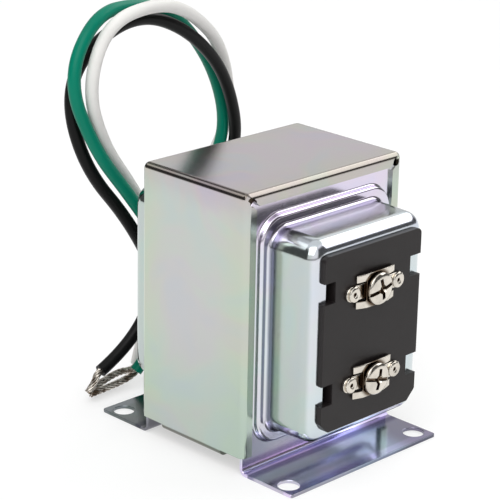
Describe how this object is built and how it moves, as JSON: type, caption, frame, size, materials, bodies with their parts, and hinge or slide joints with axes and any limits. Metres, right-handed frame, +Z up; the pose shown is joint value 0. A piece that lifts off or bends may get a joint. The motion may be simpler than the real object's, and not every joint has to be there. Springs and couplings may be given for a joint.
{
  "type": "doorbell transformer",
  "caption": "Enclosed bell transformer with drawn steel end bells on bent feet, a folded wrap, a screw terminal board in front and insulated supply leads behind.",
  "frame": {"origin": "middle of the four foot holes, on the underside of the feet", "axes": "+Z up from the feet through the core, -Y out of the screw terminals, +Y out of the rear bell where the supply leads leave, X along the width of the case"},
  "size_m": [0.0691, 0.0959, 0.1015],
  "materials": {
    "zinc_plated_steel": "bright zinc plate with a faint rainbow tint",
    "silicon_steel": "dull grey lamination edges",
    "pressboard": "matte brown-grey board",
    "nylon": "natural white, satin",
    "enamelled_copper": "enamelled copper, glossy",
    "yellow_tape": "yellow polyester tape",
    "black_board": "near-black moulded phenolic, satin",
    "black_nylon": "black, satin",
    "nickel_brass": "nickel-plated brass",
    "nickel_steel": "nickel-plated steel, warm bright",
    "black_vinyl": "black PVC insulation",
    "green_vinyl": "green PVC insulation",
    "white_vinyl": "white PVC insulation",
    "tinned_copper": "tinned strands",
    "splice_sleeve": "natural nylon crimp sleeve",
    "fuse_case": "drawn metal case of a thermal cutoff"
  },
  "bodies": {
    "root": {"front_bell": "zinc_plated_steel", "rear_bell": "zinc_plated_steel", "case_wrap": "zinc_plated_steel", "core_e_stack": "silicon_steel", "core_i_stack": "silicon_steel", "core_pad": "pressboard", "core_packing": "pressboard", "front_insulator": "pressboard", "rear_insulator": "pressboard", "bobbin": "nylon", "primary_winding": "enamelled_copper", "secondary_winding": "enamelled_copper", "secondary_wire_upper": "enamelled_copper", "secondary_wire_lower": "enamelled_copper", "primary_wire": "enamelled_copper", "primary_tape": "yellow_tape", "secondary_tape": "yellow_tape", "terminal_board": "black_board", "lead_bushing": "black_nylon", "terminal_plate_upper": "nickel_brass", "terminal_plate_lower": "nickel_brass", "solder_tag_upper": "nickel_brass", "solder_tag_lower": "nickel_brass", "eyelet_left_upper": "nickel_brass", "eyelet_right_upper": "nickel_brass", "eyelet_left_lower": "nickel_brass", "eyelet_right_lower": "nickel_brass", "terminal_screw_upper": "nickel_steel", "terminal_screw_lower": "nickel_steel", "saddle_washer_upper": "nickel_steel", "saddle_washer_lower": "nickel_steel", "ground_lug": "nickel_steel", "ground_rivet": "nickel_steel", "lead_black": "black_vinyl", "black_lead_inner": "black_vinyl", "lead_green": "green_vinyl", "green_lead_inner": "green_vinyl", "lead_white": "white_vinyl", "white_lead_inner": "white_vinyl", "strands_black": "tinned_copper", "strands_green": "tinned_copper", "strands_white": "tinned_copper", "black_splice": "splice_sleeve", "white_splice": "splice_sleeve", "thermal_fuse": "fuse_case"}
  },
  "joints": []
}
